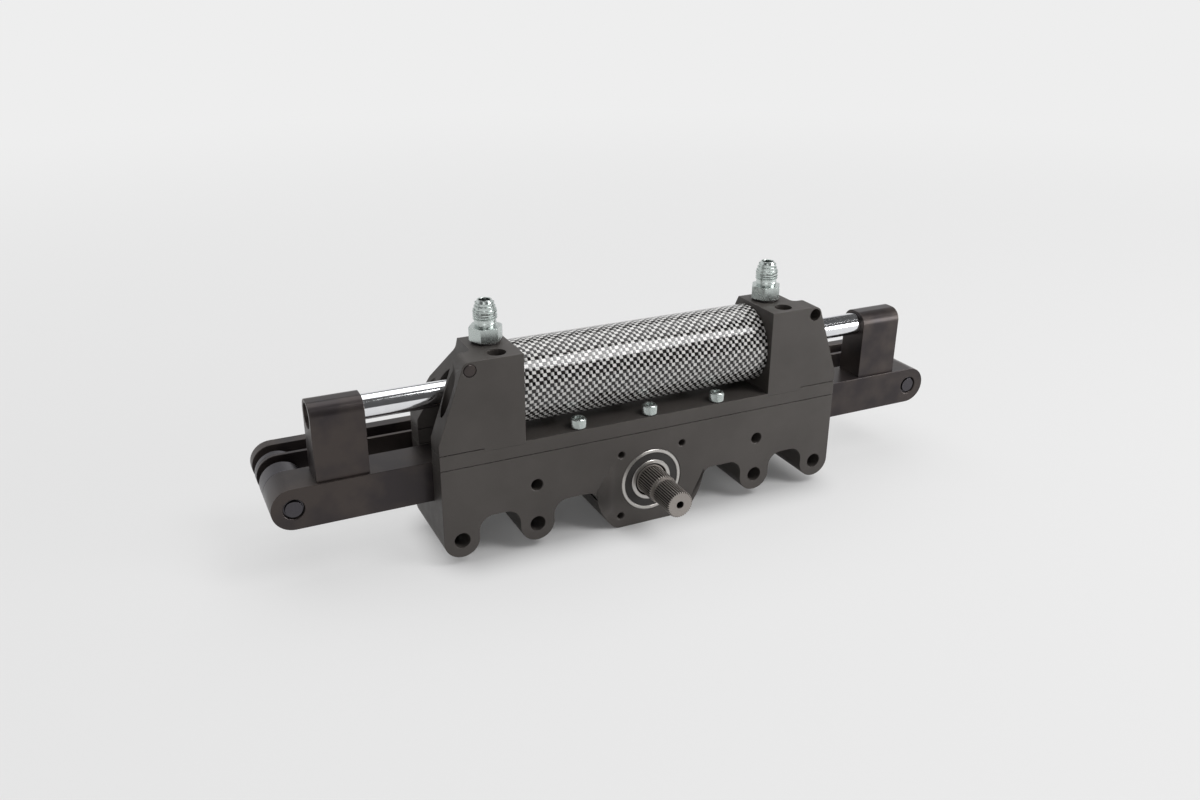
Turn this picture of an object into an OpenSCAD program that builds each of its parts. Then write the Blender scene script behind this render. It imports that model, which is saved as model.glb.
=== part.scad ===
// Power assisted steering rack with a double rod cylinder above the rack bar.
// The pinion axis meets the front face of the housing at the origin.
// X runs along the rack, Y runs back from the front face, Z is up. Millimetres.

/* [Gear] */
// Module of the rack and pinion teeth
gear_module = 1.7; // [1.6:0.05:1.8]
// Pressure angle of the teeth, degrees
pressure_angle = 25; // [23:1:26]
// Space left between two flanks, measured along the pitch line
backlash = 0.3; // [0.2:0.02:0.4]
// Half length of the toothed part of the rack bar
toothed_half = 74; // [70:1:78]

/* [Rack] */
// Distance from the middle of the rack to each tie rod pin
pin_reach = 217.5; // [212:0.5:235]
// Width of the rack bar, front to back
rack_width = 25; // [24:0.1:25]
// Height of the rack bar
rack_height = 25.4; // [25:0.1:25.4]
// Radius of the two tie rod pins
pin_radius = 6; // [5:0.1:7]

/* [Housing] */
// Half length of the housing
housing_half = 137.3; // [137:0.1:140]
// Depth of the housing, front to back
housing_depth = 57; // [57:0.5:58]
// Distance from the middle to the inner lug holes
inner_lug_x = 78; // [77:0.1:79]
// Height of the lug holes, measured from the pinion axis
lug_z = -13; // [-14:0.1:-12]
// Radius of the lug holes
lug_hole_radius = 4.9; // [4:0.1:5.5]
// Outer radius of each lug
lug_radius = 11.1; // [10.5:0.1:11.6]
// Radius of the rounds at the top of the scallops between the lugs
scallop_radius = 9; // [7:0.5:12]
// Half spacing of the four small holes around the pinion bearing
face_hole_offset = 21.4; // [20.5:0.1:22]

/* [Cylinder] */
// Outer radius of the wrapped cylinder
sleeve_radius = 25.4; // [25:0.1:25.6]
// Radius of the piston rod
rod_radius = 7.5; // [7:0.1:7.7]
// Height of the cylinder axis above the pinion axis
cylinder_z = 70.7; // [70.7:0.1:71]
// Top of the two end blocks
block_top = 98.5; // [98:0.1:100]

/* [End blocks] */
// Length of each end block at its foot
block_length = 52.8; // [52:0.1:54]
// How far the slot for the rod bracket reaches in from the end
slot_depth = 26.8; // [26:0.1:27.5]
// Top of the arch over the slot
slot_top = 82; // [81.5:0.1:83]

/* [Brackets] */
// Length of each rod bracket along the rack
bracket_length = 30.4; // [28:0.2:34]
// Distance from each tie rod pin to the centre of the rod bracket
pin_to_bracket = 29.3; // [28.5:0.1:30]
// How far the faces of the rod brackets stand back from those of the rack bar
bracket_setback = 2; // [0:0.2:3]
// Radius of the two rounds along the top of a rod bracket
bracket_round = 8; // [5:0.5:9]
// Top of the rod brackets
bracket_top = 79.6; // [79.4:0.1:80]

/* [Tie rod pins] */
// Clear space between the housing and the inner strap
strap_clearance = 6; // [5:0.5:8]
// Width of each gap that takes a tie rod end
tie_rod_gap = 9; // [8:0.5:12]
// Thickness of the inner strap
inner_strap_thickness = 2.6; // [2:0.2:4]
// Length of the rear spacers
rear_spacer_length = 4.4; // [3:0.2:6]
// Thickness of the rear strap
rear_strap_thickness = 7.6; // [6:0.2:9]

/* [Input shaft] */
// How far the input shaft stands out of the front face
input_reach = 36.8; // [34:0.2:40]
// Number of splines on the input shaft
spline_count = 36; // [30:1:40]
// Outer radius of the rear spline
rear_spline_radius = 9.5; // [9.2:0.1:9.7]
// Outer radius of the front spline
front_spline_radius = 8.5; // [8:0.1:8.8]
// Depth of the spline grooves
spline_depth = 0.95; // [0.75:0.05:0.95]

/* [Hidden] */
$fn = 96;
pinion_teeth = 12;
pitch = PI * gear_module;
pitch_radius = gear_module * pinion_teeth / 2;
base_radius = pitch_radius * cos(pressure_angle);
tip_radius = pitch_radius + gear_module;
root_radius = pitch_radius - 1.25 * gear_module;
half_tooth = pitch / 4 - backlash / 4;
rack_bottom = pitch_radius - gear_module;
rack_top = rack_bottom + rack_height;
mid_y = housing_depth / 2;
rack_front = mid_y - rack_width / 2;
rack_back = mid_y + rack_width / 2;
seam_z = rack_top + 0.3;
plate_top = seam_z + 10;
pocket_z = plate_top - 2;
block_inner = housing_half - block_length;
block_wall = housing_half - slot_depth;
pocket_end = block_wall - 0.1;
slot_half = rack_width / 2 + 0.8;
slot_round = 8;
running_gap = 0.3;
outer_lug_x = housing_half - lug_radius;
body_floor = -0.3;
cavity_radius = tip_radius + 0.7;
centre_boss_radius = 38.5;
boss_floor = -29.7;
boss_corner = 7;
boss_fillet = 6.5;
pin_z = rack_bottom + rack_height / 2;
end_radius = rack_height / 2;
port_x = housing_half - 40.3;
port_seat_z = block_top - 11.5;
port_ring_radius = 7.85;
bolt_inner_x = housing_half - 39.5;
bolt_outer_x = housing_half - 9.8;
bolt_y = 9;
bolt_radius = 3.2;
bolt_floor = 12;
bolt_seat_z = 57;
plug_x = housing_half - 20.3;
plug_z = block_top - 5.2;
plug_radius = 3.9;
screw_x = 48.5;
screw_y = 5.1;
screw_radius = 2.5;
screw_floor = 22;
tube_radius = 23.5;
tube_bore = 20;
tube_end = block_inner + 4.8;
bushing_radius = 10.5;
bushing_start = block_wall - 11.5;
seal_radius = 12.5;
seal_start = block_wall - 6.5;
rack_bushing_start = housing_half - 35.3;
rack_bushing_length = 20;
rack_bushing_wall = 2.1;
front_bearing_radius = 21;
front_bearing_width = 12;
rear_bearing_radius = 12;
rear_bearing_front = rack_back + 2.4;
rear_bearing_back = rear_bearing_front + 6;
rear_journal_radius = 6;
journal_radius = 10;
core_radius = 7.8;
strap_front = housing_depth + strap_clearance;
strap_back = strap_front + inner_strap_thickness;
front_spacer_back = strap_front - tie_rod_gap;
rear_spacer_back = strap_back + rear_spacer_length;
rear_strap_front = rear_spacer_back + tie_rod_gap;
rear_strap_back = rear_strap_front + rear_strap_thickness;
nut_back = rear_strap_back + 6;
nut_corner_radius = 10.4;
pin_back = nut_back + 1.4;
bracket_x = pin_reach - pin_to_bracket;
bracket_bolt_dx = 8.5;
bracket_bolt_radius = 3;
bracket_bolt_seat = rack_bottom + 7;
bracket_bolt_grip = 16.1;
bracket_bolt_top = rack_top + bracket_bolt_grip;
rod_end = bracket_x + bracket_length / 2 - 2.35;

// Involute function, in degrees
function inv(a) = tan(a) * 180 / PI - a;

// Half angle of a pinion tooth at radius r
function flank(r) = half_tooth / pitch_radius * 180 / PI + inv(pressure_angle)
    - inv(acos(min(1, base_radius / r)));

// A point given by radius and angle
function polar(r, a) = [r * cos(a), r * sin(a)];

// Points of an arc of radius r around c
function arc(c, r, a0, a1, n) = [for (i = [0:n]) c + polar(r, a0 + (a1 - a0) * i / n)];

// Draws children, given as an X and Z outline, from front y0 to back y1
module from_front(y0, y1) {
    translate([0, y1, 0])
        rotate([90, 0, 0])
            linear_extrude(y1 - y0)
                children();
}

// Draws children, given as a Y and Z outline, from x0 to x1
module from_side(x0, x1) {
    translate([x0, 0, 0])
        rotate([90, 0, 90])
            linear_extrude(x1 - x0)
                children();
}

// Cylinder along Y
module rod_y(r, y0, y1) {
    translate([0, y1, 0])
        rotate([90, 0, 0])
            cylinder(r = r, h = y1 - y0);
}

// Cylinder along X on the axis of the hydraulic cylinder
module rod_x(r, x0, x1) {
    translate([x0, mid_y, cylinder_z])
        rotate([0, 90, 0])
            cylinder(r = r, h = x1 - x0);
}

// Solid of revolution about the Y axis, outline given as radius and depth
module turned_y() {
    rotate([-90, 0, 0])
        rotate_extrude()
            children();
}

// Solid of revolution about the axis of the hydraulic cylinder
module turned_x() {
    translate([0, mid_y, cylinder_z])
        rotate([0, 90, 0])
            rotate_extrude()
                children();
}

// One copy on each side of the middle
module both_sides() {
    children();
    mirror([1, 0, 0])
        children();
}

// One copy at the front and one at the back
module front_and_back() {
    children();
    translate([0, housing_depth, 0])
        mirror([0, 1, 0])
            children();
}

// Inner corner of a scallop, filled with a concave round
module corner_fillet(x, z, sx, r) {
    translate([x, z])
        mirror([sx < 0 ? 1 : 0, 0])
            difference() {
                translate([-0.5, -r])
                    square([r + 0.5, r + 0.5]);
                translate([r, -r])
                    circle(r = r);
            }
}

// Half of the boss below the pinion, with a rounded corner at its flat underside
module centre_boss() {
    corner_z = boss_floor + boss_corner;
    corner_x = sqrt((centre_boss_radius - boss_corner) ^ 2 - corner_z ^ 2);
    spread = corner_x / -corner_z;
    difference() {
        intersection() {
            circle(r = centre_boss_radius);
            translate([-0.01, boss_floor])
                square([centre_boss_radius + 1, 1 - boss_floor]);
        }
        difference() {
            translate([corner_x, corner_z])
                polygon([[0, 0], [0, -12], [12 * spread, -12]]);
            translate([corner_x, corner_z])
                circle(r = boss_corner + 0.03);
        }
    }
}

// Concave round between the boss and the underside of the body
module boss_scallop_corner() {
    round_z = body_floor - boss_fillet;
    round_x = sqrt((centre_boss_radius + boss_fillet) ^ 2 - round_z ^ 2);
    touch = centre_boss_radius / (centre_boss_radius + boss_fillet);
    difference() {
        polygon([[round_x * touch, round_z * touch], [round_x * touch - 2, 1],
                 [round_x, 1], [round_x, round_z]]);
        translate([round_x, round_z])
            circle(r = boss_fillet);
    }
}

// Straight flanks and round end of a lug that hangs below the body
module lug(x) {
    translate([x - lug_radius, lug_z])
        square([2 * lug_radius, 1 - lug_z]);
    translate([x, lug_z])
        circle(r = lug_radius);
}

// Front outline of the right half of the housing
module housing_half_outline() {
    difference() {
        union() {
            translate([-0.01, body_floor])
                square([housing_half + 0.01, seam_z - body_floor]);
            lug(outer_lug_x);
            lug(inner_lug_x);
            centre_boss();
            boss_scallop_corner();
            corner_fillet(outer_lug_x - lug_radius, body_floor, -1, scallop_radius);
            corner_fillet(inner_lug_x + lug_radius, body_floor, 1, scallop_radius);
            corner_fillet(inner_lug_x - lug_radius, body_floor, -1, scallop_radius);
        }
        translate([outer_lug_x, lug_z])
            circle(r = lug_hole_radius);
        translate([inner_lug_x, lug_z])
            circle(r = lug_hole_radius);
    }
}

module rack_housing() {
    color([0.26, 0.245, 0.235])
    difference() {
        from_front(0, housing_depth) {
            housing_half_outline();
            mirror([1, 0])
                housing_half_outline();
        }
        // Open channel for the rack bar
        translate([-housing_half - 1, rack_front - running_gap, rack_bottom - running_gap])
            cube([2 * housing_half + 2, rack_width + 2 * running_gap, 40]);
        // Seats of the rack bushings
        both_sides()
            translate([rack_bushing_start, rack_front - rack_bushing_wall,
                       rack_bottom - rack_bushing_wall])
                cube([rack_bushing_length, rack_width + 2 * rack_bushing_wall, 40]);
        // Pinion chamber and bearing seats
        rod_y(front_bearing_radius, -1, front_bearing_width);
        rod_y(cavity_radius, front_bearing_width - 1, rear_bearing_front - 0.1);
        rod_y(rear_bearing_radius, rear_bearing_front - 0.4, rear_bearing_back + 0.2);
        // Small threaded holes around the bearing
        for (sx = [-1, 1], sz = [-1, 1])
            translate([sx * face_hole_offset, 0, sz * face_hole_offset])
                rod_y(2.1, -1, 11);
        // Two upper threaded holes on the front
        both_sides()
            translate([inner_lug_x, 0, 13.4])
                rod_y(3.7, -1, 12.5);
        // Threaded holes for the cover screws and the block bolts
        both_sides()
            front_and_back() {
                translate([bolt_inner_x, bolt_y, bolt_floor])
                    cylinder(r = bolt_radius, h = 40);
                translate([bolt_outer_x, bolt_y, bolt_floor])
                    cylinder(r = bolt_radius, h = 40);
                translate([screw_x, screw_y, screw_floor])
                    cylinder(r = screw_radius, h = 20);
            }
        front_and_back()
            translate([0, screw_y, screw_floor + 2.5])
                cylinder(r = screw_radius, h = 20);
    }
}

module cover_plate() {
    color([0.27, 0.255, 0.245])
    difference() {
        translate([-housing_half, 0, seam_z])
            cube([2 * housing_half, housing_depth, plate_top - seam_z]);
        // Slots that let the rod brackets pass
        both_sides()
            translate([block_wall, mid_y - slot_half, seam_z - 1])
                cube([60, 2 * slot_half, 20]);
        // Shallow pockets that hold the end blocks
        both_sides()
            translate([block_inner, -1, pocket_z])
                cube([pocket_end - block_inner, housing_depth + 2, 5]);
        both_sides()
            front_and_back() {
                translate([bolt_inner_x, bolt_y, seam_z - 1])
                    cylinder(r = bolt_radius, h = 20);
                translate([bolt_outer_x, bolt_y, seam_z - 1])
                    cylinder(r = bolt_radius, h = 20);
                translate([screw_x, screw_y, seam_z - 1])
                    cylinder(r = screw_radius, h = 20);
            }
        front_and_back()
            translate([0, screw_y, seam_z - 1])
                cylinder(r = screw_radius, h = 20);
    }
}

// Front outline of an end block, with the slanted outer edge of the ears
module block_outline() {
    ear_foot_z = plate_top + 6.4;
    slope = 15.2 / 43;
    top_corner = housing_half - slope * (block_top - ear_foot_z);
    tilt = atan(slope);
    r = 5;
    back = r * tan((90 - tilt) / 2);
    polygon(concat(
        [[block_inner, pocket_z], [pocket_end, pocket_z], [pocket_end, plate_top],
         [housing_half, plate_top], [housing_half, ear_foot_z]],
        arc([top_corner - back, block_top - r], r, tilt, 90, 8),
        [[block_inner, block_top]]));
}

// Outline of the metal cut away from the rear part of the outer face
module block_relief() {
    polygon(concat(
        [[block_wall, block_top + 1]],
        arc([block_wall + 7, block_top - 5.5], 7, 180, 213, 5),
        [[housing_half, plate_top + 6.2], [housing_half + 9, plate_top + 6.2],
         [housing_half + 9, block_top + 1]]));
}

// Top view outline of the same relief, with its rounded inner corner
module relief_plan() {
    polygon(concat(
        [[block_wall, 70]],
        arc([block_wall + 4, 20.5], 4, 180, 270, 8),
        [[housing_half + 9, 16.5], [housing_half + 9, 70]]));
}

// Passage with an arched top for the moving rod bracket
module slot_section() {
    spring_z = slot_top - slot_round;
    translate([mid_y - slot_half, seam_z - 4])
        square([2 * slot_half, spring_z - seam_z + 4]);
    translate([mid_y - slot_half + slot_round, seam_z])
        square([2 * (slot_half - slot_round), slot_top - seam_z]);
    translate([mid_y - slot_half + slot_round, spring_z])
        circle(r = slot_round);
    translate([mid_y + slot_half - slot_round, spring_z])
        circle(r = slot_round);
}

// Right hand end block, which carries the rod gland and the oil port
module end_block() {
    difference() {
        from_front(0, housing_depth)
            block_outline();
        // Steep chamfer along the rear top edge
        from_side(block_inner - 1, housing_half + 1)
            polygon([[41, block_top], [41, block_top + 1], [housing_depth + 1, block_top + 1],
                     [housing_depth + 1, 70.8], [housing_depth, 70.8]]);
        intersection() {
            from_front(10, housing_depth + 2)
                block_relief();
            translate([0, 0, 40])
                linear_extrude(70)
                    relief_plan();
        }
        from_side(block_wall, housing_half + 2)
            slot_section();
        // Seat of the tube, oil chamber and gland bores
        rod_x(tube_radius, block_inner - 1, tube_end + 0.2);
        rod_x(tube_radius + 1.8, block_inner + 1.3, block_inner + 3.7);
        rod_x(12, tube_end, bushing_start);
        rod_x(bushing_radius, bushing_start - 1, seal_start);
        rod_x(seal_radius, seal_start, block_wall + 1);
        // Oil port
        translate([port_x, mid_y, port_seat_z])
            cylinder(r = 7, h = 20);
        translate([port_x, mid_y, port_seat_z - 8])
            cylinder(r = 3.7, h = 20);
        // Counterbored holes for the clamp bolts
        front_and_back() {
            translate([bolt_inner_x, bolt_y, 40])
                cylinder(r = bolt_radius, h = 60);
            translate([bolt_inner_x, bolt_y, bolt_seat_z])
                cylinder(r = 5.5, h = 60);
            translate([bolt_outer_x, bolt_y, 40])
                cylinder(r = bolt_radius, h = 60);
            translate([bolt_outer_x, bolt_y, bolt_seat_z])
                cylinder(r = 4.9, h = 60);
        }
        // Small side port in the front face
        translate([plug_x, 0, plug_z])
            rod_y(plug_radius, -1, 9);
    }
}

module right_end_block() {
    color([0.29, 0.275, 0.265])
        end_block();
}

module left_end_block() {
    color([0.29, 0.275, 0.265])
        mirror([1, 0, 0])
            end_block();
}

module cylinder_tube() {
    color([0.62, 0.63, 0.65])
    difference() {
        rod_x(tube_radius, -tube_end, tube_end);
        rod_x(tube_bore, -tube_end - 1, tube_end + 1);
    }
}

module tube_sleeve() {
    color([0.35, 0.36, 0.38])
    difference() {
        rod_x(sleeve_radius, running_gap - block_inner, block_inner - running_gap);
        rod_x(tube_radius, -block_inner, block_inner);
    }
}

module tube_o_rings() {
    color([0.05, 0.05, 0.05])
        both_sides()
            turned_x()
                translate([tube_radius + 0.9, block_inner + 2.5])
                    circle(r = 0.9, $fn = 24);
}

// Male flare fitting that points up, with its hexagon at an angle of its own
module port_fitting() {
    hex_z = block_top + 1.5;
    hex_height = 8.4;
    corner_radius = 10.15;
    thread_radius = 7.1;
    hex_angle = -5;
    bore_radius = 3.4;
    tip_z = hex_z + 24.2;
    translate([0, mid_y, 0])
        difference() {
            union() {
                translate([0, 0, hex_z])
                    intersection() {
                        rotate([0, 0, hex_angle])
                            cylinder(r = corner_radius, h = hex_height, $fn = 6);
                        rotate_extrude()
                            polygon([[0, 0], [9.5, 0], [10.2, 0.4], [10.2, hex_height - 0.4],
                                     [9.5, hex_height], [0, hex_height]]);
                    }
                rotate_extrude()
                    polygon([[0, port_seat_z + 1], [6.4, port_seat_z + 1], [7, port_seat_z + 1.8],
                             [7, hex_z - 1.5], [6.6, hex_z], [6.2, hex_z + hex_height],
                             [6.2, hex_z + 10.2], [thread_radius, hex_z + 10.6],
                             [thread_radius, hex_z + 15.2], [6.8, hex_z + 15.6],
                             [6.6, hex_z + 17.2], [5.75, hex_z + 19.6], [5.2, hex_z + 21.2],
                             [4.3, tip_z], [0, tip_z]]);
            }
            translate([0, 0, port_seat_z - 1])
                cylinder(r = bore_radius, h = tip_z - port_seat_z + 2);
            rotate_extrude()
                polygon([[0, tip_z - 0.4], [bore_radius, tip_z - 0.4],
                         [bore_radius + 0.6, tip_z + 0.3], [0, tip_z + 0.3]]);
        }
}

module right_port_fitting() {
    color([0.72, 0.76, 0.74])
        translate([port_x, 0, 0])
            port_fitting();
}

module left_port_fitting() {
    color([0.72, 0.76, 0.74])
        translate([-port_x, 0, 0])
            port_fitting();
}

module fitting_o_rings() {
    color([0.06, 0.06, 0.06])
        both_sides()
            translate([port_x, mid_y, block_top + 0.75])
                rotate_extrude()
                    translate([port_ring_radius, 0])
                        circle(r = 0.75, $fn = 24);
}

module block_plug() {
    color([0.3, 0.29, 0.28])
        translate([-plug_x, 0, plug_z])
            turned_y()
                polygon([[0, -0.2], [plug_radius - 0.7, -0.2], [plug_radius, 0.5],
                         [plug_radius, 7], [0, 7]]);
}

module rod_bushings() {
    color([0.7, 0.5, 0.25])
        both_sides()
            difference() {
                rod_x(bushing_radius, bushing_start, seal_start - 0.2);
                rod_x(rod_radius + 0.06, bushing_start - 1, seal_start + 1);
            }
}

module rod_seals() {
    color([0.08, 0.08, 0.08])
        both_sides()
            turned_x()
                polygon([[rod_radius + 0.05, seal_start + 0.3], [9.4, seal_start + 0.3],
                         [9.9, seal_start + 2.2], [10.4, seal_start + 0.3],
                         [seal_radius, seal_start + 0.3], [seal_radius, seal_start + 3.4],
                         [rod_radius + 0.05, seal_start + 3.4]]);
}

module rod_wipers() {
    color([0.1, 0.1, 0.1])
        both_sides()
            turned_x()
                polygon([[rod_radius + 0.35, seal_start + 3.7], [seal_radius, seal_start + 3.7],
                         [seal_radius, seal_start + 6], [9.4, seal_start + 6],
                         [rod_radius + 0.05, seal_start + 6.4],
                         [rod_radius + 0.05, seal_start + 5.8],
                         [rod_radius + 0.9, seal_start + 5.2]]);
}

// Cross section of a ball bearing ring with its ball groove, and chamfered at both radii
module ring_section(r0, r1, y0, y1, c0, c1, ball_r, ball_pitch) {
    difference() {
        polygon([[r0 + c0, y0], [r1 - c1, y0], [r1, y0 + c1], [r1, y1 - c1],
                 [r1 - c1, y1], [r0 + c0, y1], [r0, y1 - c0], [r0, y0 + c0]]);
        translate([ball_pitch, (y0 + y1) / 2])
            circle(r = ball_r);
    }
}

module front_bearing_outer_ring() {
    color([0.8, 0.8, 0.8])
        turned_y()
            ring_section(18.6, front_bearing_radius, 0, front_bearing_width, 0.3, 0.5, 3.25, 15.5);
}

module front_bearing_inner_ring() {
    color([0.8, 0.8, 0.8])
        turned_y()
            ring_section(journal_radius, 13.6, 0, front_bearing_width, 1.3, 0.3, 3.25, 15.5);
}

module front_bearing_balls() {
    color([0.85, 0.85, 0.86])
        for (i = [0:8])
            rotate([0, i * 40, 0])
                translate([15.5, front_bearing_width / 2, 0])
                    sphere(r = 3.175, $fn = 48);
}

module front_bearing_seals() {
    color([0.1, 0.1, 0.1])
        turned_y() {
            translate([13.66, 0.5])
                square([4.94, 0.9]);
            translate([13.66, front_bearing_width - 1.4])
                square([4.94, 0.9]);
        }
}

module rear_bearing_outer_ring() {
    color([0.8, 0.8, 0.8])
        turned_y()
            ring_section(10.2, rear_bearing_radius, rear_bearing_front, rear_bearing_back,
                         0.2, 0.3, 1.85, 9);
}

module rear_bearing_inner_ring() {
    color([0.8, 0.8, 0.8])
        turned_y()
            ring_section(rear_journal_radius, 7.8, rear_bearing_front, rear_bearing_back,
                         0.3, 0.2, 1.85, 9);
}

module rear_bearing_balls() {
    color([0.85, 0.85, 0.86])
        for (i = [0:10])
            rotate([0, i * 360 / 11, 0])
                translate([9, (rear_bearing_front + rear_bearing_back) / 2, 0])
                    sphere(r = 1.79, $fn = 36);
}

// Pinion tooth outline, twelve involute teeth
module pinion_outline() {
    polygon([for (i = [0:pinion_teeth - 1])
        let (c = 90 + (i + 0.5) * 360 / pinion_teeth)
        each concat(
            [polar(root_radius, c - flank(base_radius) - 2.2)],
            [for (k = [0:7]) let (r = base_radius + (tip_radius - base_radius) * k / 7)
                polar(r, c - flank(r))],
            [for (k = [0:7]) let (r = tip_radius - (tip_radius - base_radius) * k / 7)
                polar(r, c + flank(r))],
            [polar(root_radius, c + flank(base_radius) + 2.2)])]);
}

// Spline outline with straight sided grooves
module spline_outline(r, depth) {
    step = 360 / spline_count;
    polygon([for (i = [0:spline_count - 1]) each [
        polar(r, (i - 0.21) * step),
        polar(r, (i + 0.21) * step),
        polar(r - depth, (i + 0.42) * step),
        polar(r - depth, (i + 0.58) * step)]]);
}

module pinion_shaft() {
    front_core = front_spline_radius - spline_depth - 0.05;
    rear_core = rear_spline_radius - spline_depth - 0.05;
    neck = front_core + 0.4;
    cone_start = -17.6;
    cone_end = -15;
    tip_chamfer = 0.35;
    color([0.5, 0.47, 0.45])
    difference() {
        union() {
            from_front(rack_front - 0.8, rack_back + 0.8)
                pinion_outline();
            // Journals, shoulder and the smooth cone between the splines
            turned_y()
                polygon([[0, 0.3 - input_reach], [front_core - 0.3, 0.3 - input_reach],
                         [front_core, cone_start - 0.4], [neck, cone_start],
                         [rear_core, cone_end + 0.4], [rear_core, 0.4], [journal_radius, 0.6],
                         [journal_radius, front_bearing_width],
                         [journal_radius + 1.3, front_bearing_width],
                         [journal_radius + 1.3, rack_front - 1.2],
                         [core_radius, rack_front - 0.6], [core_radius, rack_back + 1],
                         [core_radius - 0.4, rear_bearing_front - 0.2],
                         [rear_journal_radius, rear_bearing_front - 0.2],
                         [rear_journal_radius, rear_bearing_back - 0.4],
                         [rear_journal_radius - 0.4, rear_bearing_back],
                         [0, rear_bearing_back]]);
            intersection() {
                from_front(-input_reach, cone_start)
                    spline_outline(front_spline_radius, spline_depth);
                turned_y()
                    polygon([[0, -input_reach], [front_spline_radius - tip_chamfer, -input_reach],
                             [front_spline_radius, tip_chamfer - input_reach],
                             [front_spline_radius, cone_start - 0.8],
                             [neck, cone_start], [0, cone_start]]);
            }
            intersection() {
                from_front(cone_start + 1.6, 0.5)
                    spline_outline(rear_spline_radius, spline_depth);
                turned_y()
                    polygon([[0, cone_start], [neck, cone_start], [rear_spline_radius, cone_end],
                             [rear_spline_radius, 0.5], [0, 0.5]]);
            }
        }
        // Centre drilling in the end face
        rod_y(2, -input_reach - 1, -input_reach + 9);
        turned_y()
            polygon([[0, -input_reach - 0.6], [2.9, -input_reach - 0.6],
                     [2, -input_reach + 0.7], [0, -input_reach + 0.7]]);
    }
}

// Outline of a bar with two round ends
module bar_outline() {
    translate([-pin_reach, rack_bottom])
        square([2 * pin_reach, rack_height]);
    translate([pin_reach, pin_z])
        circle(r = end_radius);
    translate([-pin_reach, pin_z])
        circle(r = end_radius);
}

// Gap between two straight sided rack teeth
module tooth_gap() {
    rise = tan(pressure_angle);
    tip_gap = pitch / 2 - half_tooth + gear_module * rise;
    root_gap = pitch / 2 - half_tooth - 1.25 * gear_module * rise;
    polygon([[-tip_gap - 0.5 * rise, rack_bottom - 0.5],
             [-root_gap, rack_bottom + 2.25 * gear_module],
             [root_gap, rack_bottom + 2.25 * gear_module],
             [tip_gap + 0.5 * rise, rack_bottom - 0.5]]);
}

module rack_bar() {
    gaps = floor(toothed_half / pitch);
    color([0.22, 0.2, 0.195])
    difference() {
        from_front(rack_front, rack_back)
            difference() {
                bar_outline();
                for (i = [-gaps:gaps - 1])
                    translate([(i + 0.5) * pitch, 0])
                        tooth_gap();
            }
        both_sides() {
            translate([pin_reach, 0, pin_z]) {
                rod_y(pin_radius, 0, rack_back + 1);
                turned_y()
                    polygon([[0, rack_front - 0.4], [pin_radius + 0.9, rack_front - 0.4],
                             [pin_radius, rack_front + 0.5], [0, rack_front + 0.5]]);
            }
            // Counterbored holes for the bracket bolts, from below
            for (dx = [-bracket_bolt_dx, bracket_bolt_dx])
                translate([bracket_x + dx, mid_y, 0]) {
                    cylinder(r = bracket_bolt_radius, h = rack_top + 1);
                    cylinder(r = 5.2, h = bracket_bolt_seat);
                }
        }
    }
}

module rack_bushings() {
    color([0.7, 0.5, 0.25])
        both_sides()
            difference() {
                translate([rack_bushing_start + 0.1, rack_front - rack_bushing_wall,
                           rack_bottom - rack_bushing_wall])
                    cube([rack_bushing_length - 0.2, rack_width + 2 * rack_bushing_wall,
                          rack_height + rack_bushing_wall]);
                translate([rack_bushing_start - 1, rack_front - 0.08, rack_bottom - 0.08])
                    cube([rack_bushing_length + 2, rack_width + 0.16, rack_height + 1]);
            }
}

// Flat strap with a round end at each pin
module strap(y0, y1) {
    difference() {
        from_front(y0, y1)
            bar_outline();
        both_sides()
            translate([pin_reach, 0, pin_z])
                rod_y(pin_radius, y0 - 1, y1 + 1);
    }
}

module inner_strap() {
    color([0.24, 0.22, 0.215])
        strap(strap_front, strap_back);
}

module rear_strap() {
    color([0.24, 0.22, 0.215])
        strap(rear_strap_front, rear_strap_back);
}

// Round spacer on the tie rod pins
module pin_spacers(y0, y1, r) {
    both_sides()
        translate([pin_reach, 0, pin_z])
            difference() {
                rod_y(r, y0, y1);
                rod_y(pin_radius, y0 - 1, y1 + 1);
            }
}

module front_spacers() {
    color([0.3, 0.3, 0.32])
        pin_spacers(rack_back, front_spacer_back, end_radius);
}

module rear_spacers() {
    color([0.3, 0.3, 0.32])
        pin_spacers(strap_back, rear_spacer_back, end_radius);
}

module clevis_pins() {
    color([0.33, 0.31, 0.3])
        both_sides()
            translate([pin_reach, 0, pin_z])
                turned_y()
                    polygon([[0, rack_front + 0.2], [pin_radius - 1.1, rack_front + 0.2],
                             [pin_radius - 1.1, rack_front + 2.2], [pin_radius, rack_front + 2.2],
                             [pin_radius, pin_back - 0.8], [pin_radius - 0.8, pin_back],
                             [0, pin_back]]);
}

module clevis_nuts() {
    color([0.45, 0.45, 0.45])
        both_sides()
            translate([pin_reach, 0, pin_z])
                difference() {
                    intersection() {
                        from_front(rear_strap_back, nut_back)
                            circle(r = nut_corner_radius, $fn = 6);
                        turned_y()
                            polygon([[0, rear_strap_back], [nut_corner_radius, rear_strap_back],
                                     [nut_corner_radius, nut_back - 0.8],
                                     [nut_corner_radius - 1.2, nut_back], [0, nut_back]]);
                    }
                    rod_y(pin_radius, rear_strap_back - 1, nut_back + 1);
                }
}

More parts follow.
